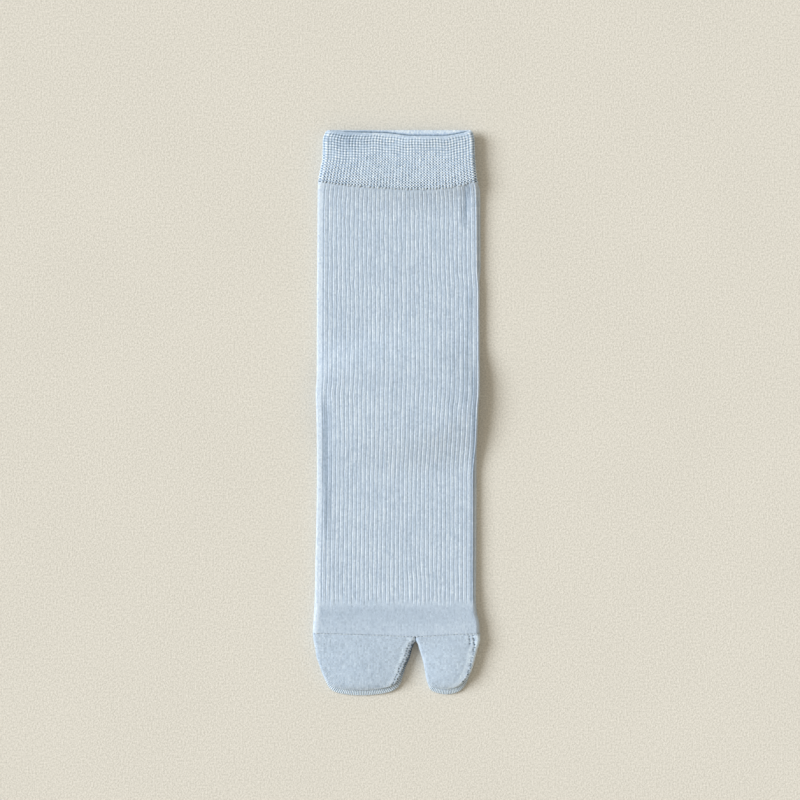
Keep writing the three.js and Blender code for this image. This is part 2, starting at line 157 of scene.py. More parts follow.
def sleeve(shape, y, inset, lane):
    """Points and outward directions of a flattened sleeve, for each row and each lane."""
    y, inset, lane = y[:, None], inset[:, None], lane[None, :]
    count, fold = shape["lanes"], shape["fold_lanes"]
    left, right = shape["left"](y) + inset, shape["right"](y) - inset

    def low(x):
        return shape["under"](x, y) + inset

    def top(x):
        return shape["under"](x, y) + shape["high"](x, y) - inset + shape["lift"](x, y)

    inner_left = left + FOLD_DEPTH * (top(left) - low(left)) / 2
    inner_right = right - FOLD_DEPTH * (top(right) - low(right)) / 2
    on_right, on_back = lane - count, lane - count - fold
    on_left = lane - 2 * count - fold
    place = [lane <= count, on_back <= 0, on_left <= 0]
    share = np.select(place, [lane / count, 1 + 0 * lane, 1 - on_back / count], 0)
    angle = [0.5 + 0 * lane, 0.5 - on_right / fold, -0.5 + 0 * lane]
    angle = math.pi * np.select(place, angle, on_left / fold - 0.5)
    side = np.where(on_left > 0, -1.0, 1.0)
    x = mix(inner_left, inner_right, share)
    mid, half = (top(x) + low(x)) / 2, (top(x) - low(x)) / 2
    outward = side * np.cos(angle)
    deep = np.where(side > 0, right - inner_right, inner_left - left)
    bulge = shape["relief"](lane, x + outward * deep, y, angle) * (1 - inset / shape["wall"])
    front = np.maximum(0, np.sin(angle))
    sideways = shape["drift"](lane, x, y) * (1 - np.abs(2 * share - 1) ** DRIFT_FADE)
    points = [
        x + outward * (deep + bulge) + sideways * np.abs(np.sin(angle)),
        y - shape["sag"](x, y, front) + 0 * x,
        mid + np.sin(angle) * (half + bulge),
    ]
    zero = np.zeros_like(mid)
    return np.stack(points, -1), np.stack([outward + zero, zero, np.sin(angle) + zero], -1)


def rim(end, wall, radius, turn):
    """Rows over the rounded edge of a wall: `turn` is 1 at its mouth and -1 at its far end."""
    angle = np.linspace(0, math.pi / 2, 3)
    out_y = end - turn * radius * (1 - np.cos(angle))
    out_inset = radius * (1 - np.sin(angle))
    y = np.r_[out_y[::-1], out_y]
    inset = np.r_[wall - out_inset[::-1], out_inset]
    return (y, inset) if turn > 0 else (y[::-1], inset[::-1])


def wall_rows(outer_y, inner_y, wall, mouth_radius=RIM_RADIUS):
    """Rows of a wall open at both ends: inside to the mouth, over it and down outside."""
    mouth_y, mouth_inset = rim(outer_y[0], wall, mouth_radius, 1)
    far_y, far_inset = rim(outer_y[-1], wall, RIM_RADIUS, -1)
    inside = np.array(inner_y)[::-1]
    outside = outer_y[(outer_y < mouth_y.min() - 0.1) & (outer_y > far_y.max() + 0.1)]
    y = np.r_[inside, mouth_y, outside, far_y]
    inset = np.r_[0 * inside + wall, mouth_inset, 0 * outside, far_inset]
    return y, inset


def new_object(name, data):
    made = bpy.data.objects.new(name, data)
    bpy.context.scene.collection.objects.link(made)
    return made


def cloth(name, points, wale, course, painted_shade, closed, fan=None):
    """A piece from rings of points in mm, which close on themselves or end in a cap. Its UV map
    counts wales and courses, and its attributes hold each point's painted shade, negative
    where it is painted light, and where radial wales run."""
    rows, cols = points.shape[:2]
    index = np.arange(rows * cols).reshape(rows, cols)
    row = np.arange(rows if closed else rows - 1)
    near, far = index[row], index[(row + 1) % rows]
    quads = np.stack([near, far, np.roll(far, -1, 1), np.roll(near, -1, 1)], -1).reshape(-1, 4)
    number = np.stack([item + np.zeros((rows, cols + 1)) for item in (wale, course)], -1)
    beyond = np.minimum(row + 1, rows - 1)
    uv = [number[row, :-1], number[beyond, :-1], number[beyond, 1:], number[row, 1:]]
    uv = np.stack(uv, 2).reshape(-1, 2)
    corners, sizes = quads.ravel(), np.full(len(quads), 4)
    if not closed:
        caps = np.r_[index[0], index[-1][::-1]]
        corners = np.r_[corners, caps]
        sizes = np.append(sizes, [cols, cols])
        uv = np.r_[uv, number[:, :-1].reshape(-1, 2)[caps]]
    mesh = bpy.data.meshes.new(name)
    mesh.vertices.add(rows * cols)
    placed = points.reshape(-1, 3) - [MIDDLE_X, MIDDLE_Y, 0]
    mesh.vertices.foreach_set("co", (placed * MM).ravel())
    mesh.loops.add(len(corners))
    mesh.loops.foreach_set("vertex_index", corners)
    mesh.polygons.add(len(sizes))
    mesh.polygons.foreach_set("loop_start", np.r_[[0], np.cumsum(sizes)[:-1]])
    mesh.update(calc_edges=True)
    mesh.uv_layers.new(name="stitches").data.foreach_set("uv", uv.ravel())
    painted_shade = np.clip(painted_shade + np.zeros((rows, cols)), -0.5, 1)
    mesh.attributes.new("painted_shade", "FLOAT", "POINT").data.foreach_set("value", painted_shade.ravel())
    radial = mesh.attributes.new("fan", "FLOAT_VECTOR", "POINT")
    if fan is not None:
        radial.data.foreach_set("vector", fan.ravel())
    mesh.polygons.foreach_set("use_smooth", np.ones(len(sizes), bool))
    mesh.validate()
    return new_object(name, mesh)


def all_round(lane, per_lane):
    """Stitch numbers once round a sleeve, with the first point again at the end."""
    return np.append(lane, 2 * lane[-1] - lane[-2]) * per_lane


def drifts(seed, y, reach, waves):
    """A slow drift of each lane to and fro along the sock, the same on every run."""
    dice = np.random.default_rng(seed)
    total = np.zeros((y.shape[0], ROUND_LANES))
    for wave in waves:
        start = dice.uniform(0, FULL_TURN, ROUND_LANES)
        size = dice.uniform(0.4, 1.0, ROUND_LANES)
        total += size * np.sin(FULL_TURN * y / wave + start)
    return reach * total / len(waves)


def between_lanes(table, lane):
    """Reads values known at whole lanes at every point between them."""
    first = np.clip(np.floor(lane).astype(int), 0, table.shape[1] - 2)
    return mix(table[:, first[0]], table[:, first[0] + 1], (lane - first)[0])


def rib_crest(lane):
    """1 on the raised first wale of a rib, and less on its second."""
    across = lane - np.floor(lane)
    first = np.exp(-(((across - CREST_AT) / CREST_WIDE) ** 2))
    return first + SECOND_HIGH * np.exp(-(((across - SECOND_AT) / CREST_WIDE) ** 2))


def rib_profile(lane):
    """Height across a rib: 0 at its edges, about half on its back, 1 on its crest."""
    across = lane - np.floor(lane)
    back = smooth(across / 0.14) * smooth((1 - across) / 0.26)
    return (1 - CREST_SHARE) * back + CREST_SHARE * rib_crest(lane)


def linear(code):
    """Blender's linear colour for an sRGB hex value."""
    parts = [int(code[i : i + 2], 16) / 255 for i in (1, 3, 5)]
    return [c / 12.92 if c <= 0.04045 else ((c + 0.055) / 1.055) ** 2.4 for c in parts] + [1.0]


def node(tree, kind, inputs=None, **settings):
    """Adds a node with these settings and inputs, values or links, and gives its outputs."""
    made = tree.nodes.new(kind)
    for name, value in settings.items():
        setattr(made, name, value)
    for socket, value in (inputs or {}).items():
        if isinstance(value, bpy.types.NodeSocket):
            tree.links.new(value, made.inputs[socket])
        else:
            made.inputs[socket].default_value = value
    return made.outputs


def new_material(name):
    material = bpy.data.materials.new(name)
    material.use_nodes = True
    material.node_tree.nodes.clear()
    return material, material.node_tree


def finish_material(tree, colour, height, relief, inputs):
    """Ends a material with a rough surface, on which `height` stands up by `relief` mm."""
    bump = node(tree, "ShaderNodeBump", {"Height": height, "Distance": relief * MM})[0]
    inputs = {"Base Color": colour, "Normal": bump, "Specular IOR Level": 0.2, **inputs}
    surface = node(tree, "ShaderNodeBsdfPrincipled", inputs)[0]
    node(tree, "ShaderNodeOutputMaterial", {"Surface": surface})


MATH = "ShaderNodeMath"
NOISE = "ShaderNodeTexNoise"
FIBRES_PER_MM = 2.6  # fibres are finer, and are drawn as coarse as they need to show
BLOTCHES_PER_MM = 0.045
STITCH_SLANT = 0.9  # of a leg's rise from the side of a wale to its middle, in courses
PAIR = (1.0, 0.55, 1.0)  # one tone for about two courses of a wale
RUN = (0.97, 0.11, 1.0)  # and slower changes along it
CLOTH_SHADE = 0.3  # its own colour: 0 for brightest yarn and painted highlights, 1 for painted shade in hollows
PLAIN_SHADE = 0.355  # shade of its stitches where no painted shade or light is added


def knit(name, bright, cloth_colour, painted_hollow_shade, relief, flecks, blotch):
    """Matt cotton knit of small V-shaped stitches. Painted shade makes the hollows between them
    darker and greyer, the attribute adds more painted shade and light, some stitches are
    brighter, and light in the yarn softens small shadows."""
    material, tree = new_material(name)
    stitches = node(tree, "ShaderNodeUVMap", uv_map="stitches")["UV"]
    part = node(tree, "ShaderNodeSeparateXYZ", {0: stitches})

    # each pair of stitches has its own tone: a few are brighter, and a few darker
    cell = node(tree, "ShaderNodeVectorMath", {0: stitches}, operation="FLOOR")[0]
    pair = node(tree, "ShaderNodeMapping", {"Vector": stitches, "Scale": PAIR})[0]
    pair = node(tree, "ShaderNodeVectorMath", {0: pair}, operation="FLOOR")[0]
    own = node(tree, "ShaderNodeTexWhiteNoise", {"Vector": pair}, noise_dimensions="2D")["Value"]
    run = node(tree, "ShaderNodeMapping", {"Vector": cell, "Scale": RUN})[0]
    run = node(tree, NOISE, {"Vector": run, "Scale": 1.0, "Detail": 1.0})[0]
    place = node(tree, "ShaderNodeTexCoord")["Object"]
    fibre = node(tree, NOISE, {"Vector": place, "Scale": FIBRES_PER_MM / MM, "Detail": 2.0})[0]
    patchy = node(tree, NOISE, {"Vector": place, "Scale": BLOTCHES_PER_MM / MM, "Detail": 3.0})[0]
    painted_shade = node(tree, "ShaderNodeAttribute", attribute_name="painted_shade")["Fac"]
    fan = node(tree, "ShaderNodeAttribute", attribute_name="fan")["Vector"]
    fan = node(tree, "ShaderNodeSeparateXYZ", {0: fan})

    # Each row is one sum: its name, what is done, and with what. The legs of a stitch slope away
    # from the middle of its wale, and ridges are the radial wales round the toe tips.
    sums = {"across": part["X"], "along": part["Y"], "own": own, "fibre": fibre}
    sums.update({"fan": fan["X"], "fan shows": fan["Y"]})
    for name, operation, *inputs in (
        ("off", "FRACT", "across"),
        ("off", "SUBTRACT", "off", 0.5),
        ("off", "ABSOLUTE", "off"),
        ("legs", "MULTIPLY_ADD", "off", -STITCH_SLANT, "along"),
        ("legs", "MULTIPLY", "legs", FULL_TURN),
        ("legs", "COSINE", "legs"),
        ("legs", "MULTIPLY_ADD", "legs", 0.5, 0.5),
        ("wale", "MULTIPLY", "off", 2.0),
        ("wale", "POWER", "wale", 2.0),
        ("wale", "MULTIPLY_ADD", "wale", -0.7, 1.0),
        ("stitch", "MULTIPLY", "legs", "wale"),
        ("lit", "POWER", "own", 4.0),
        ("dull", "SUBTRACT", 1.0, "own"),
        ("dull", "POWER", "dull", 4.0),
        ("ridge", "MULTIPLY", "fan", FULL_TURN),
        ("ridge", "COSINE", "ridge"),
        ("ridge", "MULTIPLY", "ridge", "fan shows"),
        ("height", "MULTIPLY_ADD", "fibre", 0.3, "stitch"),
        ("height", "MULTIPLY_ADD", "ridge", -0.9, "height"),
    ):
        inputs = {i: sums.get(item, item) for i, item in enumerate(inputs)}
        sums[name] = node(tree, MATH, inputs, operation=operation)[0]

    # how much each of them darkens the cloth: painted shade and light from the attribute, painted
    # shade low between stitches and in the radial grooves, and random tone from the noise. Noise is
    # 0.5 on average, which `level` takes off.
    level = PLAIN_SHADE - 0.5 * (flecks + 2.5 * flecks + blotch)
    shade = node(tree, MATH, {0: painted_shade, 1: 0.7, 2: level}, operation="MULTIPLY_ADD")[0]
    for pattern, weight in (
        (sums["stitch"], -0.12), (sums["lit"], -0.45 * flecks), (sums["dull"], 0.6 * flecks),
        (run, flecks), (fibre, 2.5 * flecks), (patchy, blotch), (sums["ridge"], 0.18),
    ):
        inputs = {0: pattern, 1: weight, 2: shade}
        shade = node(tree, MATH, inputs, operation="MULTIPLY_ADD")[0]
    colour = linear(bright)
    for start, end, tone in ((0.0, CLOTH_SHADE, cloth_colour), (CLOTH_SHADE, 1.0, painted_hollow_shade)):
        share = node(tree, "ShaderNodeMapRange", {0: shade, 1: start, 2: end})[0]
        inputs = {0: share, 6: colour, 7: linear(tone)}
        colour = node(tree, "ShaderNodeMix", inputs, data_type="RGBA")[2]
    finish_material(tree, colour, sums["height"], relief, {
        "Roughness": 0.92, "Sheen Weight": 0.08, "Sheen Roughness": 0.5, "Subsurface Weight": 0.4,
        "Subsurface Radius": (1.0, 1.0, 1.0), "Subsurface Scale": 0.4 * MM,
    })
    return material


def place_piece(piece, material, replaced):
    piece.data.materials.append(material)
    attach(piece, "root")
    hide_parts(replaced)


# Combed cotton in a rib: matt, with painted highlights on its crests and painted shade in its
# grooves
rib_cotton = knit("combed_cotton_rib_knit", "#e5eff9", "#c1d1e3", "#748ba4", 0.12, 0.2, 0.07)

LOWER_BODY = {
    "lanes": RIBS, "fold_lanes": FOLD_RIBS, "wall": LEG_WALL,
    "left": lambda y: body_left(y) + LOWER_SHIFT, "right": low_right,
    "under": nothing, "high": body_high, "lift": nothing, "sag": nothing, "drift": nothing,
    "relief": nothing,
}


def lower_ribs(lane, x, y, angle):
    """Ribs of the lower sock: grooves in its instep, which faces down, and round its folds."""
    faces_up = smooth(np.sin(angle) * 2 - 0.8)
    fade = smooth((y - RIB_END) / 3) * smooth((CUFF_SEAM - y) / 6)
    return RIB_HEIGHT * (rib_profile(lane) - 1) * fade * (1 - faces_up)


fold_lanes = lanes(RIB_STEPS, FOLD_RIBS, 0)
rib_lanes = lanes([0, 0.15, 0.31, 0.58, 0.86, 0.94], RIBS, RIBS + FOLD_RIBS)
lower_lanes = round_sleeve(lanes([0, 0.5], RIBS, 0), fold_lanes, rib_lanes)
lower_y, lower_inset = wall_rows(
    np.linspace(CUFF_SEAM - GAP / 2, TOE_SEAM + GAP / 2, 100),
    np.linspace(CUFF_SEAM - 2, TOE_SEAM + 2, 14),
    LEG_WALL,
)
points, _ = sleeve({**LOWER_BODY, "relief": lower_ribs}, lower_y, lower_inset, lower_lanes)
# painted shade in the rib grooves and painted highlight on their crests, on the ribbed panel
painted_shade = (0.45 - 0.9 * rib_profile(lower_lanes)) * (lower_lanes > RIBS)
painted_shade = painted_shade * smooth((lower_y - RIB_END) / 3)[:, None]
left_tube = cloth(
    "left_leg_and_foot", points, all_round(lower_lanes, WALES_PER_RIB),
    -lower_y[:, None] / COURSE, painted_shade, True,
)
place_piece(left_tube, rib_cotton, "left_tube")

# ==== Cuff of the left sock ====
# A double welt of the same cotton with an elastic thread, turned down inside and linked to the
# leg. Its tuck stitches stand as rows of small knots with holes between them.

CUFF_WALL = 1.9
CUFF_SHADE = 0.24  # painted shade on the columns near the mouth, most on the left
UPPER_MOUTH = 161.0
LOWER_MOUTH = 158.5
KNOT_LANES = 48  # columns of knots across one side
KNOT_FOLD_LANES = 2
KNOT_ROW = 1.48  # distance from one row of knots to the next
KNOT_HEIGHT = 0.5
KNOT_STEPS = [0, 0.17, 0.34, 0.5, 0.66, 0.83]
POINTS_PER_ROW = 5
KNOT_LEVEL_OUT = 0.75  # height in the knit that lies on the cuff's outline
KNOT_SIZES = (0.5, 1.35)  # from smallest to largest
KNOT_TABLE = (40, 130)  # more rows and lanes than a cuff has
LATTICE_FROM = 6.5  # columns give way to a lattice of dots about this many rows from the mouth
LATTICE_RUN = 5  # and do so over this many
EDGE_LEVEL = 0.54  # height of the plain turned edge, from 0 in a hole to 1 on a knot
KNOT_LEVEL = 0.525  # height that has the cloth's own tone; knots above it get a painted highlight, holes below it painted shade
HOLE_SHADE = 2.2
LAST_HOLES = 0.35  # depth of the largest holes in the last row, above the seam
INSIDE_SHADE = 0.95
RIM_LIGHT = 0.18
RIM_LINES = 0.55  # how strongly the wales show over the rim, in bump and in painted shade
KNOTTED = {"lanes": KNOT_LANES, "fold_lanes": KNOT_FOLD_LANES}

# The same cotton in a tuck knit: knots with painted highlights round holes with painted shade
mesh_cotton = knit("cotton_tuck_knit", "#eff8ff", "#bbcfe6", "#4d6479", 0.08, 0.2, 0.1)


def knots(lane, down, whole):
    """Height of the tuck knit, `down` from the mouth of `whole` to the seam: 1 on a knot, 0 in a
    hole. Upright columns near the mouth turn to a lattice of dots. The turned edge is plain."""
    row = down / KNOT_ROW + 0.12 * np.sin(lane * 0.9) + 0.1 * np.sin(lane * 0.37 + 2)
    edge = LATTICE_FROM + 2.2 * np.sin(lane * 0.11 + 1.4) + 1.2 * np.sin(lane * 0.33)
    low = smooth((row - edge) / LATTICE_RUN)
    dice = np.random.default_rng(31)
    sizes = dice.uniform(*KNOT_SIZES, KNOT_TABLE)
    at_row, at_lane = np.round(row).astype(int) + 2, np.round(lane).astype(int)
    own = sizes[np.clip(at_row, 0, KNOT_TABLE[0] - 1), at_lane + 0 * at_row]
    lean = 0.5 * np.sin(lane * 0.17 + row * 0.22 + 0.4) * low
    step = lane + lean * (row - np.round(row))
    columns, rows = np.cos(FULL_TURN * step), np.cos(FULL_TURN * row)
    grid = mix(0.18 * columns + 0.16 * rows, 0.15 * columns + 0.52 * columns * rows, low)
    last = whole / KNOT_ROW - 0.45
    grid = grid * (1 + 0.35 * smooth((row - last + 5) / 3))
    holes = np.exp(-(((row - last) / 0.35) ** 2)) * (0.5 - 0.5 * np.cos(FULL_TURN * lane))
    uneven = LAST_HOLES * dice.uniform(0, 1, KNOT_TABLE[1])[at_lane]
    return mix(EDGE_LEVEL, 0.5 + own * grid, smooth((row - 0.5) / 0.9)) - uneven * holes


def cuff_piece(name, shape, mouth, front, shown=nothing):
    """A cuff, from its inside up to the mouth and down its outside. `shown` is how much of the
    back panel's inside lies open at the mouth. Painted shade covers it beyond that."""
    back = lanes(KNOT_STEPS[::2], KNOT_LANES, KNOT_LANES + KNOT_FOLD_LANES)
    lane = round_sleeve(front, lanes(KNOT_STEPS, KNOT_FOLD_LANES, 0), back)
    rows = int(round((mouth - CUFF_SEAM) / KNOT_ROW * POINTS_PER_ROW))
    inside = mouth - np.array([1.4, 2.0, 2.8, 3.8, 5, 8, 14, 20, mouth - CUFF_SEAM - 1.5])
    down_side = np.linspace(mouth, CUFF_SEAM + GAP / 2, rows)
    y, inset = wall_rows(down_side, inside, CUFF_WALL, CUFF_WALL / 2)
    right = np.cos(math.pi * np.clip((lane - KNOT_LANES) / KNOT_FOLD_LANES, 0, 1))
    left = np.cos(math.pi * np.clip((lane - lane[-1]) / KNOT_FOLD_LANES + 1, 0, 1))
    on_front = np.maximum(0, np.maximum(right, -left))

    def down(x, y):
        return mouth - y + shape["sag"](x, y, on_front) - shape["sag"](x, mouth, on_front)

    def relief(lane, x, y, angle):
        return KNOT_HEIGHT * (knots(lane, down(x, y), down(x, CUFF_SEAM)) - KNOT_LEVEL_OUT)

    knotted = {**shape, **KNOTTED, "wall": CUFF_WALL, "relief": relief}
    points, _ = sleeve(knotted, y, inset, lane)
    x = points[..., 0]
    # painted shade on the back panel's inside beyond the open part, painted shade in the holes and
    # on the columns near the mouth, painted highlights on the knots and along the rim
    outside = 1 - inset[:, None] / CUFF_WALL
    open_for = np.maximum(shown(x), 1.5) - 1.5
    below = mouth - y[:, None]
    within = smooth((below - open_for) / 1.3)
    shaded = smooth(1 - np.abs(lane[None, :] - 6) / 11) * smooth(1 - below / 18)
    high_at = knots(lane[None, :], down(x, y[:, None]), down(x, CUFF_SEAM))
    painted_hollow_shade = HOLE_SHADE * (KNOT_LEVEL - high_at) + CUFF_SHADE * shaded
    painted_shade = mix(INSIDE_SHADE * within - RIM_LIGHT, painted_hollow_shade, outside)
    lines = lane * 2 + 0 * painted_shade
    rim_lines = smooth(inset[:, None] / CUFF_WALL * 2) + 0 * lines
    fan = np.stack([lines, RIM_LINES * rim_lines, 0 * lines], -1)
    return cloth(name, points, all_round(lane, 2), -y[:, None] / COURSE, painted_shade, True, fan)


plain_front = lanes([0, 0.5], KNOT_LANES, 0)
left_cuff = cuff_piece("left_cuff_welt", LOWER_BODY, LOWER_MOUTH, plain_front)
place_piece(left_cuff, mesh_cotton, "left_cuff")

# ==== Toe pockets of the left sock ====
# Two plain knitted pockets, one for the four small toes and one for the big toe, linked to the
# toe band. Each is narrowed along a gore line, which leaves a row of small holes.

TOE_WALL = 1.2
TOES = {
    "y": [-125.4, -128.4, -131.7, -134, -138.5, -143.1, -147.6, -151, -153.5, -155.6, -156.9,
          -157.4],
    "left": [-47.9, -47.6, -47.0, -46.5, -45.9, -44.3, -42.8, -41.2, -39.6, -36.9, -32.0, -27.5],
    "right": [10.35, 10.2, 8.4, 7.6, 6.2, 4.0, 2.4, 1.2, -0.4, -4.1, -10.0, -15.0],
}
BIG_TOE = {
    "y": [-125.4, -128.4, -131.7, -134, -138.5, -143.1, -147.6, -151, -153.5, -155.4, -156.5,
          -156.9],
    "left": [10.65, 10.8, 12.0, 12.6, 14.0, 15.2, 16.0, 16.6, 17.3, 19.2, 22.2, 24.6],
    "right": [46.6, 46.9, 46.2, 45.4, 44.3, 43.1, 41.5, 39.5, 37.4, 34.9, 32.2, 30.0],
    "low_right": [46.6, 46.3, 44.8, 44.2, 43.1, 41.8, 40.2, 38.8, 37.1, 34.9, 32.2, 30.0],
}
LOWER_REACH = 1.098  # the lower sock's pockets reach further than the upper sock's
POCKET_CROWN = 0.14  # a pocket is this share thinner at its side folds
POCKET_CROWN_RUN = 12
SEAM_SHOWN = 0.08  # what stays open between toe band and pockets under the linking chain
WALE = 0.87  # width of one column of stitches
RADIAL_WALE = 1.0  # pitch of the wales that show round a toe tip
SPLIT_LIGHT = 0.22  # painted light: the lower pockets, in the upper ones' shade, are lighter than the cloth's own tone
SPLIT_SHADE = {"toes": 1.05, "big_toe": 0.8}  # and painted shade in the split

# The same cotton in plain knit: even, with a fine grain
plain_cotton = knit("combed_cotton_plain_knit", "#dfeefc", "#b9cadd", "#475862", 0.1, 0.19, 0.09)


def pocket_edges(rows):
    """Side edges, tip and height of a pocket, on the upper sock and on the lower one."""
    left, right = curve(rows, "left"), curve(rows, "right")
    lower_right = curve(rows, "low_right" if "low_right" in rows else "right")
    tip = rows["y"][-1]
    share = (FLAT_HEIGHT["y"][-1] - TOE_SEAM) / (tip - TOE_SEAM)

    def own_high(y):
        return high(TOE_SEAM + (y - TOE_SEAM) * share)

    def back(y):
        return TOE_SEAM + (y - TOE_SEAM) / LOWER_REACH

    upper = {"left": left, "right": right, "tip": tip, "own_high": own_high}
    upper.update({"rows": rows, "reach": 1})
    lower = {
        "rows": rows, "reach": LOWER_REACH,
        "left": lambda y: left(back(y)) + LOWER_SHIFT,
        "right": lambda y: lower_right(back(y)) + LOWER_SHIFT,
        "tip": TOE_SEAM + (tip - TOE_SEAM) * LOWER_REACH,
        "own_high": lambda y: own_high(back(y)),
    }
    return upper, lower


def pocket_high(edges):
    """Height of a pocket: that of the toe band at the seam, and then its own crown."""

    def read(x, y):
        half = (edges["right"](y) - edges["left"](y)) / 2
        off = np.minimum(1, np.abs(x - edges["left"](y) - half) / half)
        own = smooth((TOE_SEAM - y) / POCKET_CROWN_RUN)
        crown = mix(1 - CROWN * (x / HALF_WIDTH) ** 2, 1 - POCKET_CROWN * off * off, own)
        return edges["own_high"](y) * crown

    return read


def closing_rows(edges, step):
    """Rows of a pocket from the seam round its tip, evenly apart along its left edge: place along
    the sock, side edges, and share of its height."""
    table, reach = edges["rows"], edges["reach"]
    side = "low_right" if reach != 1 and "low_right" in table else "right"
    left, right, y = list(table["left"]), list(table[side]), list(table["y"])
    middle = (left[-1] + right[-1]) / 2
    for share, drop in ((0.45, 0.2), (0.04, 0.28)):
        left.append(mix(middle, table["left"][-1], share))
        right.append(mix(middle, table[side][-1], share))
        y.append(table["y"][-1] - drop)
    rows = {"number": np.arange(len(y)), "left": left, "right": right, "y": y}
    read = {name: curve(rows, name, "number") for name in ("left", "right", "y")}
    fine = np.linspace(0, len(y) - 1, 600)
    length = np.cumsum(np.hypot(np.diff(read["y"](fine)), np.diff(read["left"](fine))))
    length = np.r_[[0], length]
    number = np.interp(np.linspace(0, length[-1], int(length[-1] / step)), length, fine)
    at_y = TOE_SEAM + (read["y"](number) - TOE_SEAM) * reach
    shift = LOWER_SHIFT if reach != 1 else 0
    closed = np.clip((number - (len(y) - 3)) / 2, 0, 1)
    high_share = np.sqrt(1 - 0.98 * closed**2)
    return at_y, read["left"](number) + shift, read["right"](number) + shift, high_share


def pocket_piece(name, edges, shape, front, step, painted_shade_at, fan):
    """A closed pocket: rows from deep inside it to its mouth, then out to its tip, `step` apart.
    `fan` says where the radial wales round the tip run, and how strongly they show, in bump
    and in painted shade between them."""
    back = np.linspace(0, RIBS, 49)
    lane = round_sleeve(front, np.linspace(0, FOLD_RIBS, 11), back + RIBS + FOLD_RIBS)
    mouth, tip = TOE_SEAM - SEAM_SHOWN / 2, edges["tip"]
    out_y, out_left, out_right, out_high = closing_rows(edges, step)
    out = out_y < mouth - 0.5
    mouth_y, mouth_inset = rim(mouth, TOE_WALL, 0.2, 1)
    inside = np.linspace(mix(mouth, tip, 0.89), mouth - 1.5, 8)
    first = np.r_[inside, mouth_y]
    y = np.r_[first, out_y[out]]
    inset = np.r_[0 * inside + TOE_WALL, mouth_inset, 0 * out_y[out]]
    row_left = np.r_[edges["left"](first), out_left[out]][:, None]
    row_right = np.r_[edges["right"](first), out_right[out]][:, None]
    row_high = np.r_[0 * first + 1, out_high[out]][:, None]
    full = pocket_high(edges)
    shape = {
        **LOWER_BODY, **shape, "wall": TOE_WALL, "left": lambda y: row_left,
        "right": lambda y: row_right, "high": lambda x, y: full(x, y) * row_high,
    }
    points, _ = sleeve(shape, y, inset, lane)
    x = points[..., 0]
    # painted shade and painted light, kept off the rows inside the pocket
    painted_shade = painted_shade_at(x, points[..., 1]) * (np.arange(len(y)) > 10)[:, None]
    off_x, off_y = x - fan["x"], points[..., 1] - fan["y"]
    turn = np.arctan2(off_x, -off_y) * fan["radius"] / RADIAL_WALE
    near_tip = smooth((np.hypot(off_x, off_y) / fan["radius"] - 0.72) / 0.2) * (off_y < 3)
    radial = np.stack([turn, fan["strength"] * near_tip, 0 * turn], -1)
    wales = np.c_[x, x[:, :1]] / WALE
    return cloth(name, points, wales, -y[:, None] / COURSE, painted_shade, False, radial)


toes_upper, toes_lower = pocket_edges(TOES)
big_upper, big_lower = pocket_edges(BIG_TOE)


def split_side(x, y):
    """Painted shade on the small-toes pocket's side of the split, darkest at its apex, and painted
    light on the rest of it.
    """
    near = smooth((x - toes_lower["right"](y) + 3.0) / 1.8) * smooth((y + 158) / 20)
    return SPLIT_SHADE["toes"] * near - SPLIT_LIGHT


left_toes = pocket_piece(
    "left_small_toes_pocket", toes_lower, {}, np.linspace(0, RIBS, 73), 0.8, split_side,
    {"x": -20, "y": -136, "radius": 24, "strength": 1.8},
)
place_piece(left_toes, plain_cotton, "left_toes")


def split_apex(x, y):
    """Painted shade on the big-toe pocket's side of the split, close to its apex, and painted light
    on the rest of it.
    """
    near = smooth(1 - (x - big_lower["left"](y)) / 2.4) * smooth((y + 137) / 6)
    return SPLIT_SHADE["big_toe"] * near - SPLIT_LIGHT


left_big_toe = pocket_piece(
    "left_big_toe_pocket", big_lower, {}, np.linspace(0, RIBS, 49), 0.7, split_apex,
    {"x": 28.5, "y": -144, "radius": 16, "strength": 1.8},
)
place_piece(left_big_toe, plain_cotton, "left_big_toe")

# ==== Heels ====
# Each heel is a plain knitted pouch, two plies folded flat under the sole side of its own sock.
# Both lie between the two socks, one on the other, and only their rims show from the side.

HEEL_HIGH = 2.1
HEEL_EASE = 0.2  # the layers over a heel stand off it this much more than over a seam
HEEL_CORE = 0.8  # share of its outline in which the layers over it lie level
HEEL_FALL = 1.4  # share at which they are down again
SOCK_FALL = 1.85  # the same for the upper sock, which spans the edge of the heels in a soft curve
HEEL_GROOVE = 1.6  # depth of the groove between its two plies
HEEL_GROOVE_SHADE = 0.9
HEEL_THINNER = 0.4  # at its rim, as a share of its height
LEFT_HEEL = {"x": 0.6, "y": 9.0, "half": 45.6, "to_leg": 21, "to_toes": 25}
RIGHT_HEEL = {"x": 0.4, "y": 11.2, "half": 46.0, "to_leg": 20, "to_toes": 26}


def heel_lift(heel, x, y, end=HEEL_FALL):
    """How far a folded heel lifts the layers over it."""
    reach = np.where(y > heel["y"], heel["to_leg"], heel["to_toes"])
    share = np.hypot((x - heel["x"]) / heel["half"], (y - heel["y"]) / reach)
    fall = (share - HEEL_CORE) / (end - HEEL_CORE)
    return (HEEL_HIGH + GAP + HEEL_EASE) * (1 - smooth(fall))


def on_lower_body(x, y):
    return body_high(x, y) + GAP


def on_left_heel(x, y):
    return on_lower_body(x, y) + heel_lift(LEFT_HEEL, x, y)


def on_both_heels(x, y):
    lift = heel_lift(LEFT_HEEL, x, y, SOCK_FALL) + heel_lift(RIGHT_HEEL, x, y, SOCK_FALL)
    return on_lower_body(x, y) + lift


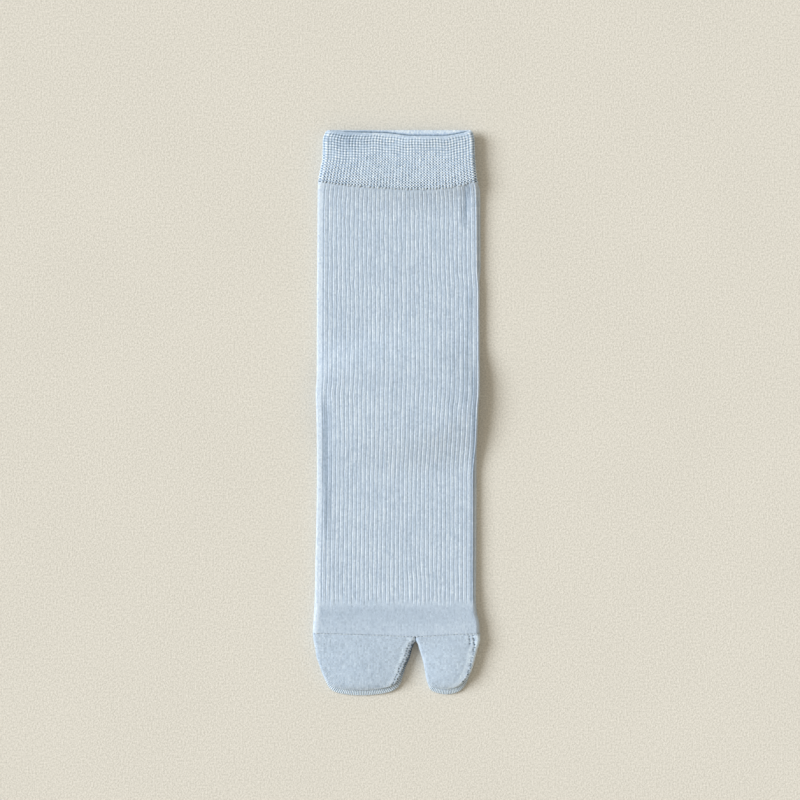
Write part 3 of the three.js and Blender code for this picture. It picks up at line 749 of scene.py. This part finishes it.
def heel_piece(name, heel, floor):
    """A folded pouch as rings from the middle of its underside to that of its top: how far out
    each lies, and its level between the two."""
    out = np.r_[np.linspace(0.02, 0.9, 16), [0.94, 0.97, 0.99, 1.0, 0.995, 0.975]]
    level = np.r_[np.zeros(16), [0.01, 0.05, 0.12, 0.24, 0.36, 0.43]]
    groove = 1 - HEEL_GROOVE / heel["to_leg"]
    out = np.r_[out, [groove, groove], out[::-1]][:, None]
    level = np.r_[level, [0.46, 0.54], 1 - level[::-1]][:, None]
    turn = np.linspace(0, FULL_TURN, 120, endpoint=False)[None, :]
    reach = np.where(np.sin(turn) > 0, heel["to_leg"], heel["to_toes"])
    x = heel["x"] + heel["half"] * out * np.cos(turn)
    y = heel["y"] + reach * out * np.sin(turn)
    thick = HEEL_HIGH * (1 - HEEL_THINNER * smooth((out - 0.7) / 0.3))
    points = np.stack([x, y, floor(x, y) + thick * level], -1)[::-1]
    # painted shade in the groove between the two plies
    groove_shade = (np.abs(level[::-1] - 0.5) < 0.1) * HEEL_GROOVE_SHADE
    wale = np.c_[points[..., 0], points[:, :1, 0]] / WALE
    course = np.c_[points[..., 1], points[:, :1, 1]] / -COURSE
    return cloth(name, points, wale, course, groove_shade, False)


left_heel = heel_piece("left_heel_pouch", LEFT_HEEL, on_lower_body)
place_piece(left_heel, plain_cotton, "left_heel")

right_heel = heel_piece("right_heel_pouch", RIGHT_HEEL, on_left_heel)
place_piece(right_heel, plain_cotton, "right_heel")

# ==== Leg and foot of the right sock, which lies on top ====
# The same ribbed tube, instep up. Each rib is three wales, two of them raised. The heels under
# it make a low bump, and it has a dimple under the cuff and soft troughs beside the heels.

# How far the cloth hangs towards the toes: the front panel at the mouth and the cuff seam, and
# both panels at the toe seam
SAG = {
    "x": [-43, -36, -25, -8, 10, 25, 36, 43],
    "mouth": [0, 0.6, 1.5, 1.9, 3.6, 3.7, 2.1, 0],
    "cuff_seam": [0, 0.9, 2.4, 3.5, 4.3, 3.7, 1.9, 0],
    "toe_seam": [0, 0.1, 0.4, 1.0, 1.7, 1.0, 0.4, 0.2],
}
MOUTH_SAG_RUN = 16
CUFF_SAG_RUN = 20
TOE_SAG_RUN = 7

# Soft troughs in the front panel: start, end, half width and depth.
TROUGHS = [
    ((39.3, 131), (39.3, 113), 3.5, 0.45),  # dimple under the cuff
    ((-40, 10), (-40.5, -38), 3.2, 0.3),  # streak from the heel
    ((44.5, -1), (30, -15), 5, 0.12),  # pull of the heel's corner
    ((2, 7), (44, -32), 5, 0.08),  # slant below the heel
]

# Painted shade in the rib grooves along the side folds and beside the heels, where the ribs
# # are drawn together: upper end, lower end, half width and shade.
STREAKS = [
    ((-41.3, 2), (-40.6, -64), 1.7, 0.4),
    ((-39.0, 0), (-38.4, -56), 2.6, 0.26),
    ((40, 128), (38.4, 112), 3.2, 0.4),
    ((41.5, 66), (38.5, 8), 3.6, 0.2),
    ((43.8, 20), (43.2, -104), 2.2, 0.45),
    ((33, 40), (31, 2), 5, 0.12),
]
STREAK_FADE = 14  # a streak fades out over this much beyond its ends

# Ribs lean aside in a few places: middle, half width, half length, and how far to the right.
LEANS = [(12, -101, 16, 20, 0.9), (33, -14, 18, 34, -0.8), (-30, 60, 22, 60, 0.5)]

# Slow changes along each rib, by reach and lengths: its height, its place and the bright spots of
# its painted highlight
RIB_UNEVEN = (0.35, [23, 61, 140])
RIB_WANDER = (0.3, [11, 29, 70])
RIB_GLINTS = (2.0, [5, 9, 21, 70])
RAGGED_END = 1.5  # how far a rib may end before or beyond the others

mouth_sag = curve(SAG, "mouth", "x")
cuff_seam_sag = curve(SAG, "cuff_seam", "x")
toe_seam_sag = curve(SAG, "toe_seam", "x")


def sag_at(x, y, front):
    at_mouth = smooth((y - UPPER_MOUTH + MOUTH_SAG_RUN) / MOUTH_SAG_RUN)
    at_cuff = smooth(1 - np.abs(y - CUFF_SEAM) / CUFF_SAG_RUN)
    at_toe = smooth(1 - np.abs(y - TOE_SEAM) / TOE_SAG_RUN)
    return front * (mouth_sag(x) * at_mouth + cuff_seam_sag(x) * at_cuff) + toe_seam_sag(x) * at_toe


def trough_depth(x, y):
    depth = 0 * (x + y)
    for (x1, y1), (x2, y2), wide, deep in TROUGHS:
        dx, dy = x2 - x1, y2 - y1
        along = np.clip(((x - x1) * dx + (y - y1) * dy) / (dx * dx + dy * dy), 0, 1)
        away = np.hypot(x - x1 - dx * along, y - y1 - dy * along)
        depth += deep * smooth(1 - away / wide)
    return depth


def streak_shade(x, y):
    total = 0 * (x + y)
    for (x1, y1), (x2, y2), wide, shade in STREAKS:
        middle = mix(x1, x2, np.clip((y1 - y) / (y1 - y2), 0, 1))
        beyond = np.maximum(0, np.maximum(y - y1, y2 - y)) / STREAK_FADE
        total = total + shade * smooth(1 - np.abs(x - middle) / wide - beyond)
    return total


def rib_strength(lane, y):
    """1 where ribs stand, 0 in plain cloth. Each rib ends at its own place."""
    ends = np.random.default_rng(21).uniform(-RAGGED_END, RAGGED_END, ROUND_LANES)
    end = RIB_END + ends[np.floor(lane).astype(int)]
    return smooth((y - end) / 4) * smooth((CUFF_SEAM - y) / 3)


def plain_edge(lane):
    """1 on ribs, 0 on the left side fold, where the cloth is stretched smooth."""
    start = 2 * RIBS + FOLD_RIBS
    return smooth((lane - 0.1) / 0.7) * (1 - smooth((lane - start) / 0.5))


def upper_ribs(lane, x, y, angle):
    """Ribs of uneven height over the soft troughs. They go on round the side folds."""
    sizes = drifts(5, y, *RIB_UNEVEN)
    rise = RIB_HEIGHT * (1 + between_lanes(sizes, lane + 0.5)) * rib_profile(lane)
    round_fold = RIB_HEIGHT * 0.7 * (1 - smooth(np.sin(angle) * 3 - 1.5))
    troughs = trough_depth(x, y) * (np.sin(angle) > 0.99)
    return (rise - round_fold) * rib_strength(lane, y) * plain_edge(lane) - troughs


def upper_drift(lane, x, y):
    """Ribs wander a little to and fro, and lean aside in a few places."""
    wander = between_lanes(drifts(9, y, *RIB_WANDER), lane)
    lean = 0
    for middle_x, middle_y, wide, long, by in LEANS:
        lean = lean + by * smooth(1 - np.hypot((x - middle_x) / wide, (y - middle_y) / long))
    wander = wander * (1 + 0.9 * smooth((y - 20) / 60))
    return (wander + lean) * smooth((CUFF_SEAM - y) / 8) * smooth((y - TOE_SEAM) / 12)


FOLD_LIGHT = 0.16  # painted light on the smooth left side fold, which faces the lamp
RIB_SHADE = 0.25  # painted shade of the grooves
# painted highlight on the rib crests
CREST_LIGHT = 0.35
BAND_SHADE = 0.19  # the plain toe band is a little darker than the ribs, most so on the left

UPPER_BODY = {
    **LOWER_BODY, "left": body_left, "right": body_right, "under": on_both_heels, "sag": sag_at
}

upper_lanes = round_sleeve(
    lanes(RIB_STEPS, RIBS, 0), fold_lanes, lanes([0, 0.5], RIBS, RIBS + FOLD_RIBS)
)


def graded_rows(ends, counts):
    """Rows from end to end, with its own number of them in each stretch."""
    runs = [np.linspace(*run)[:-1] for run in zip(ends, ends[1:], counts)]
    return np.append(np.concatenate(runs), ends[-1])


# closest where the ribs begin and end, and inside over the heels
upper_y, upper_inset = wall_rows(
    graded_rows([CUFF_SEAM - GAP / 2, 120, -104, -114, TOE_SEAM + GAP / 2], [11, 98, 15, 11]),
    graded_rows([CUFF_SEAM - 2, 52, -42, TOE_SEAM + 2], [9, 44, 14]),
    LEG_WALL,
)
upper_body = {**UPPER_BODY, "relief": upper_ribs, "drift": upper_drift}
points, _ = sleeve(upper_body, upper_y, upper_inset, upper_lanes)
x = points[..., 0]
strength = rib_strength(upper_lanes[None, :], upper_y[:, None])
edge = plain_edge(upper_lanes)[None, :]
# painted shade in the rib grooves and along the streaks, painted highlights on the crests in bright
# spots, painted light on the left side fold, and the toe band a little darker
faint = 0.55 * smooth((RIB_END - 3 - upper_y[:, None]) / 12) + 0.4 * smooth(x / 40)
band = BAND_SHADE * smooth((RIB_END + 1 - upper_y[:, None]) / 3) * (1 - faint)
glints = drifts(13, upper_y[:, None], *RIB_GLINTS)
glints = np.maximum(0, 1 + between_lanes(glints, upper_lanes[None, :]))
painted_hollow_shade = RIB_SHADE * (1 - rib_profile(upper_lanes))[None, :]
painted_shade = (painted_hollow_shade - CREST_LIGHT * glints * rib_crest(upper_lanes)[None, :]) * strength + band
painted_shade = painted_shade * edge - FOLD_LIGHT * (1 - edge)
painted_shade = painted_shade + streak_shade(x, points[..., 1]) * (upper_lanes < RIBS + 1)[None, :]
painted_shade = painted_shade * (1 - upper_inset / LEG_WALL)[:, None]
right_tube = cloth(
    "right_leg_and_foot", points, all_round(upper_lanes, WALES_PER_RIB),
    -upper_y[:, None] / COURSE, painted_shade, True,
)
place_piece(right_tube, rib_cotton, "right_tube")

# ==== Cuff of the right sock ====
# The same double welt. Its front panel sags and stands off a little at the mouth, so the back
# panel's inside shows as a narrow rim behind it.

GAPES = [(16, 27, 1.1), (-22, 30, 0.3)]  # middle, half width and lift of each
GAPE_RUN = 13


def gape(x, y):
    across = sum(lift * smooth(1 - np.abs(x - middle) / wide) for middle, wide, lift in GAPES)
    return across * smooth((y - UPPER_MOUTH + GAPE_RUN) / GAPE_RUN)


right_cuff = cuff_piece(
    "right_cuff_welt", {**UPPER_BODY, "under": on_lower_body, "lift": gape}, UPPER_MOUTH,
    lanes(KNOT_STEPS, KNOT_LANES, 0), mouth_sag,
)
place_piece(right_cuff, mesh_cotton, "right_cuff")

# ==== Toe pockets of the right sock ====
# As on the left sock. The narrowing marks of the gores show from above: two rows of holes down
# the inner side of the small-toes pocket, and one down the outer side of the big-toe pocket, with
# a short second one at its start.

# Each row of marks: its first and last hole, how far it bows out, and how many holes it has.
TOES_MARKS = [
    ((9.2, -129.6), (-0.6, -154.0), 0.4, 19),
    ((7.2, -130.6), (-2.8, -154.6), 0.5, 17),
]
BIG_TOE_MARKS = [
    ((43.0, -126.6), (44.2, -133.2), 0.2, 6),
    ((43.8, -134.2), (41.0, -146.2), 0.15, 11),
    ((40.7, -147.2), (37.8, -152.6), 0.1, 5),
    ((41.4, -126.8), (41.3, -131.2), 0.0, 4),
]
MARK_RADIUS = 0.44
MARK_DEPTH = 0.8
MARK_STEP = 0.24  # spacing of points across the marks
MARK_SHADE = 1.3
ROLL_HIGH = 0.45  # of the gore's outer edge, which stands up as a soft roll beside them with a painted highlight
ROLL_LIGHT = 0.12
STRIP_LIGHT = 0.17  # painted light on the strip inside the roll, in which the marks lie
STRIP_WIDE = 5.2
HOLE_STRAY = 0.28
HOLE_DEPTHS = (0.5, 1.1)  # from the shallowest to the deepest


def edge_roll(edges, wide):
    """Height of the roll at a point, from 0 to 1. It fades out before the tip."""

    def read(x, y, angle):
        inside = edges["right"](y) - x
        runs = smooth((wide - inside) / 0.7) * smooth((y - edges["tip"] - 3) / 5)
        return runs * smooth((np.sin(angle) + 0.5) / 0.5) * smooth((TOE_SEAM - y) / 3)

    return read


def on_lower_pocket(edges):
    lower = pocket_high(edges)
    return lambda x, y: lower(x, y) + GAP


def marks(rows, seed):
    """Depth of the narrowing marks at a point, from 0 to 1. Holes are a little out of line."""
    dice = np.random.default_rng(seed)
    holes = []
    for (x1, y1), (x2, y2), bow, count in rows:
        share = np.linspace(0, 1, count)
        stray = dice.uniform(-HOLE_STRAY, HOLE_STRAY, (2, count))
        x = mix(x1, x2, share) + bow * 4 * share * (1 - share) + stray[0]
        y = mix(y1, y2, share) + stray[1]
        holes.append(np.stack([x, y, dice.uniform(*HOLE_DEPTHS, count)], -1))

    def read(x, y):
        total = 0
        for hole_x, hole_y, deep in np.concatenate(holes):
            away = (x - hole_x) ** 2 + (y - hole_y) ** 2
            total = total + deep * np.exp(-away / MARK_RADIUS**2)
        return np.minimum(total, 1)

    return read


def upper_pocket(name, edges, below, mark, wide, marked, roll_wide, painted_light, fan):
    """A pocket of the upper sock, `wide` in lanes, with finer points where it is `marked`."""
    roll = edge_roll(edges, roll_wide)

    def relief(lane, x, y, angle):
        return ROLL_HIGH * roll(x, y, angle) - MARK_DEPTH * mark(x, y) * (np.sin(angle) > -0.2)

    # painted shade in the marks, painted highlight on the roll, and painted light on the strip
    # beside it and over the whole pocket
    def painted_shade_at(x, y):
        strip = smooth((STRIP_WIDE - edges["right"](y) + x) / 1.4)
        light = ROLL_LIGHT * roll(x, y, math.pi / 2) + painted_light + STRIP_LIGHT * strip
        return MARK_SHADE * mark(x, y) - light

    coarse = np.linspace(0, RIBS * (1 - marked / wide), int((wide - marked) / 0.5))
    fine = np.linspace(coarse[-1], RIBS, int(marked / MARK_STEP))
    front = np.r_[coarse, fine[1:]]
    shape = {"under": on_lower_pocket(below), "sag": sag_at, "relief": relief}
    return pocket_piece(name, edges, shape, front, 0.36, painted_shade_at, fan)


right_toes = upper_pocket(
    "right_small_toes_pocket", toes_upper, toes_lower, marks(TOES_MARKS, 3), wide=55,
    marked=13, roll_wide=0.8, painted_light=0.0, fan={"x": -20, "y": -133, "radius": 24, "strength": 0.25},
)
place_piece(right_toes, plain_cotton, "right_toes")

right_big_toe = upper_pocket(
    "right_big_toe_pocket", big_upper, big_lower, marks(BIG_TOE_MARKS, 4), wide=33,
    marked=8, roll_wide=1.9, painted_light=0.03, fan={"x": 28, "y": -141, "radius": 16, "strength": 0.25},
)
place_piece(right_big_toe, plain_cotton, "right_big_toe")

# ==== Seam stitches ====
# Loops of the same yarn that close the seams: each cuff is linked to its leg through every
# second wale, which leaves holes between the loops, and each toe band to its pockets by a chain.

# Sizes of a stitch, and `Spread`, by how many radians each of its legs leans out.
CUFF_LOOP = {"Long": 0.7, "Wide": 0.7, "High": 0.34, "Apart": 0.0, "Spread": 0.35}
CHAIN_LINK = {"Long": 0.46, "Wide": 0.36, "High": 0.2, "Apart": 0.22, "Spread": 0.45}
CHAIN_PITCH = 1.9
KNOT_STRAY = 0.26  # a knot is out of line by up to this share of a lane
CHAIN_STRAY = 0.4  # and a chain stitch by up to this share of its pitch
LOOP_SIZES = (0.72, 1.2)  # smallest and largest, as shares of the size above

# Loose cotton yarn, whose plies show as soft spots
YARN_SPOTS_PER_MM = 1.8
yarn, tree = new_material("combed_cotton_yarn")
place = node(tree, "ShaderNodeTexCoord")["Object"]
inputs = {"Vector": place, "Scale": YARN_SPOTS_PER_MM / MM, "Detail": 2.0}
ply = node(tree, NOISE, inputs)[0]
inputs = {0: ply, 6: linear("#afc0d1"), 7: linear("#d3dfea")}
colour = node(tree, "ShaderNodeMix", inputs, data_type="RGBA")[2]
finish_material(tree, colour, ply, 0.1, {"Roughness": 0.9})


def stitch_tree():
    """A loop of yarn on every point of a seam: two legs, side by side or leaning together."""
    tree = bpy.data.node_groups.new("stitches_along_a_seam", "GeometryNodeTree")
    kinds = {"Seam": "Geometry", **{size: "Float" for size in CUFF_LOOP}}
    kinds.update({"Seed": "Int", "Yarn": "Material", "Stitches": "Geometry"})
    for name, kind in kinds.items():
        way = "OUTPUT" if name == "Stitches" else "INPUT"
        tree.interface.new_socket(name, in_out=way, socket_type="NodeSocket" + kind)
    given = node(tree, "NodeGroupInput")
    size = {0: given["Wide"], 1: given["Long"], 2: given["High"]}
    size = node(tree, "ShaderNodeCombineXYZ", size)[0]
    bead = {"Segments": 8, "Rings": 6, "Radius": 1.0}
    bead = node(tree, "GeometryNodeMeshUVSphere", bead)[0]
    legs = node(tree, "GeometryNodeJoinGeometry")
    for side in (1.0, -1.0):
        moves = {"Geometry": bead, "Scale": size}
        for label, name, axis in (("Translation", "Apart", 0), ("Rotation", "Spread", 2)):
            amount = node(tree, MATH, {0: given[name], 1: side}, operation="MULTIPLY")[0]
            moves[label] = node(tree, "ShaderNodeCombineXYZ", {axis: amount})[0]
        leg = node(tree, "GeometryNodeTransform", moves)[0]
        tree.links.new(leg, legs[0].node.inputs[0])
    known = [
        node(tree, "GeometryNodeInputNamedAttribute", {0: name}, data_type="FLOAT_VECTOR")[0]
        for name in ("out", "along")
    ]
    turn = {0: known[0], 1: known[1]}
    turn = node(tree, "FunctionNodeAxesToRotation", turn, primary_axis="Z", secondary_axis="X")
    grow = {2: LOOP_SIZES[0], 3: LOOP_SIZES[1], "Seed": given["Seed"]}
    grow = node(tree, "FunctionNodeRandomValue", grow, data_type="FLOAT")
    placed = {
        "Points": given["Seam"], "Instance": legs[0], "Rotation": turn[0], "Scale": grow[1],
    }
    placed = node(tree, "GeometryNodeInstanceOnPoints", placed)[0]
    real = node(tree, "GeometryNodeRealizeInstances", {0: placed})[0]
    soft = node(tree, "GeometryNodeSetShadeSmooth", {0: real})[0]
    dyed = node(tree, "GeometryNodeSetMaterial", {"Geometry": soft, "Material": given["Yarn"]})
    node(tree, "NodeGroupOutput", {0: dyed[0]})
    return tree


stitches = stitch_tree()


def seam(name, shape, y, lane, raised, sizes, seed):
    """A row of stitches round a sleeve, with their middles `raised` off the cloth."""
    points, out = (part[0] for part in sleeve(shape, np.array([y]), np.zeros(1), lane))
    points += raised * out
    along = np.roll(points, -1, 0) - np.roll(points, 1, 0)
    along /= np.linalg.norm(along, axis=1)[:, None]
    mesh = bpy.data.meshes.new(name + "_path")
    mesh.from_pydata(((points - [MIDDLE_X, MIDDLE_Y, 0]) * MM).tolist(), [], [])
    for label, value in (("out", out), ("along", along)):
        mesh.attributes.new(label, "FLOAT_VECTOR", "POINT").data.foreach_set("vector", value.ravel())
    piece = new_object(name, mesh)
    rows = piece.modifiers.new("stitches", "NODES")
    rows.node_group = stitches
    values = {label: size * MM for label, size in sizes.items()}
    values.update({"Spread": sizes["Spread"], "Seed": seed, "Yarn": yarn})
    for item in stitches.interface.items_tree:
        if item.name in values:
            rows[item.identifier] = values[item.name]
    shown = piece.evaluated_get(bpy.context.evaluated_depsgraph_get())
    made = bpy.data.meshes.new_from_object(shown)
    piece.modifiers.clear()
    piece.data = made
    made.name = name
    bpy.data.meshes.remove(mesh)
    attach(piece, "root")
    return piece


def chain_lanes(shape):
    """Lane numbers of the chain's stitches once round the toe seam, a little unevenly apart."""
    fine = np.linspace(0, 2 * (RIBS + FOLD_RIBS), 4000)
    points, _ = sleeve(shape, np.array([TOE_SEAM]), np.zeros(1), fine)
    length = np.r_[0, np.cumsum(np.linalg.norm(np.diff(points[0], axis=0), axis=1))]
    count = int(round(length[-1] / CHAIN_PITCH))
    stray = np.random.default_rng(count).uniform(0, CHAIN_STRAY, count)
    return np.interp((np.arange(count) + stray) * length[-1] / count, length, fine)


knot_lane = np.arange(0, 2 * (KNOT_LANES + KNOT_FOLD_LANES), 1.0)
knot_lane += np.random.default_rng(17).uniform(-KNOT_STRAY, KNOT_STRAY, len(knot_lane))
knot_lane[0] = 0
lower_cuff_shape = {**LOWER_BODY, **KNOTTED}
upper_cuff_shape = {**UPPER_BODY, **KNOTTED, "under": on_lower_body}
seam("left_cuff_seam", lower_cuff_shape, CUFF_SEAM, knot_lane, 0.0, CUFF_LOOP, 1)
seam("right_cuff_seam", upper_cuff_shape, CUFF_SEAM, knot_lane, 0.05, CUFF_LOOP, 2)
chain = chain_lanes(LOWER_BODY)
seam("left_toe_linking", LOWER_BODY, TOE_SEAM, chain, -0.09, CHAIN_LINK, 3)
chain = chain_lanes(UPPER_BODY)
seam("right_toe_linking", UPPER_BODY, TOE_SEAM, chain, -0.03, CHAIN_LINK, 4)

# ==== Surface, light and camera ====
# A sheet of heavy cream paper with a fine tooth, lit by one soft lamp low on the left and a
# bright room, seen from straight above.

FLOOR_HALF = 3000.0
floor_mesh = bpy.data.meshes.new("floor")
corners = [(-1, -1), (1, -1), (1, 1), (-1, 1)]
corners = [(x * FLOOR_HALF * MM, y * FLOOR_HALF * MM, 0) for x, y in corners]
floor_mesh.from_pydata(corners, [], [(0, 1, 2, 3)])
floor = new_object("floor", floor_mesh)

# Uncoated cartridge paper, matt and slightly rough, with faint clouds
TOOTH_PER_MM = 1.0
CLOUDS_PER_MM = 0.014
paper, tree = new_material("cream_cartridge_paper")
place = node(tree, "ShaderNodeTexCoord")["Object"]
inputs = {"Vector": place, "Scale": TOOTH_PER_MM / MM, "Detail": 2.0, "Roughness": 0.75}
tooth = node(tree, NOISE, inputs)[0]
cloud = node(tree, NOISE, {"Vector": place, "Scale": CLOUDS_PER_MM / MM, "Detail": 3.0})[0]
shade = node(tree, MATH, {0: cloud, 1: 0.06, 2: tooth}, operation="MULTIPLY_ADD")[0]
shade = node(tree, "ShaderNodeMapRange", {0: shade, 1: 0.375, 2: 0.685})[0]
inputs = {0: shade, 6: linear("#c7c5bd"), 7: linear("#e2dfd7")}
colour = node(tree, "ShaderNodeMix", inputs, data_type="RGBA")[2]
finish_material(tree, colour, tooth, 0.3, {"Roughness": 0.95})
floor_mesh.materials.append(paper)

LAMP_HEIGHT = 37.0  # degrees above the surface
LAMP_TURN = 12.0  # degrees from the left towards the cuffs
LAMP_STRENGTH = 3.4
LAMP_SOFTNESS = 34  # degrees that it spans
ROOM_STRENGTH = 0.53
lamp_data = bpy.data.lights.new("soft_lamp", "SUN")
lamp_data.energy = LAMP_STRENGTH
lamp_data.angle = math.radians(LAMP_SOFTNESS)
lamp_data.color = linear("#f5faff")[:3]
lamp = new_object("soft_lamp", lamp_data)
lamp.rotation_euler = (0, math.radians(-(90 - LAMP_HEIGHT)), math.radians(-LAMP_TURN))

room = bpy.data.worlds.new("bright_room")
room.use_nodes = True
backdrop = room.node_tree.nodes["Background"].inputs
backdrop["Color"].default_value = linear("#fff3de")
backdrop["Strength"].default_value = ROOM_STRENGTH
bpy.context.scene.world = room

CAMERA_HEIGHT = 2500.0
SENSOR_WIDTH = 36
VIEW_WIDTH = 456.0  # how much of the surface the picture spans
VIEW_CENTRE = (1.8, 7.2)
camera_data = bpy.data.cameras.new("camera")
camera_data.sensor_width = SENSOR_WIDTH
camera_data.lens = SENSOR_WIDTH * CAMERA_HEIGHT / VIEW_WIDTH
camera_data.clip_start = 0.01
camera_data.clip_end = 20
camera = new_object("camera", camera_data)
camera.location = (VIEW_CENTRE[0] * MM, VIEW_CENTRE[1] * MM, CAMERA_HEIGHT * MM)
bpy.context.scene.camera = camera
bpy.context.scene.view_settings.view_transform = "Standard"
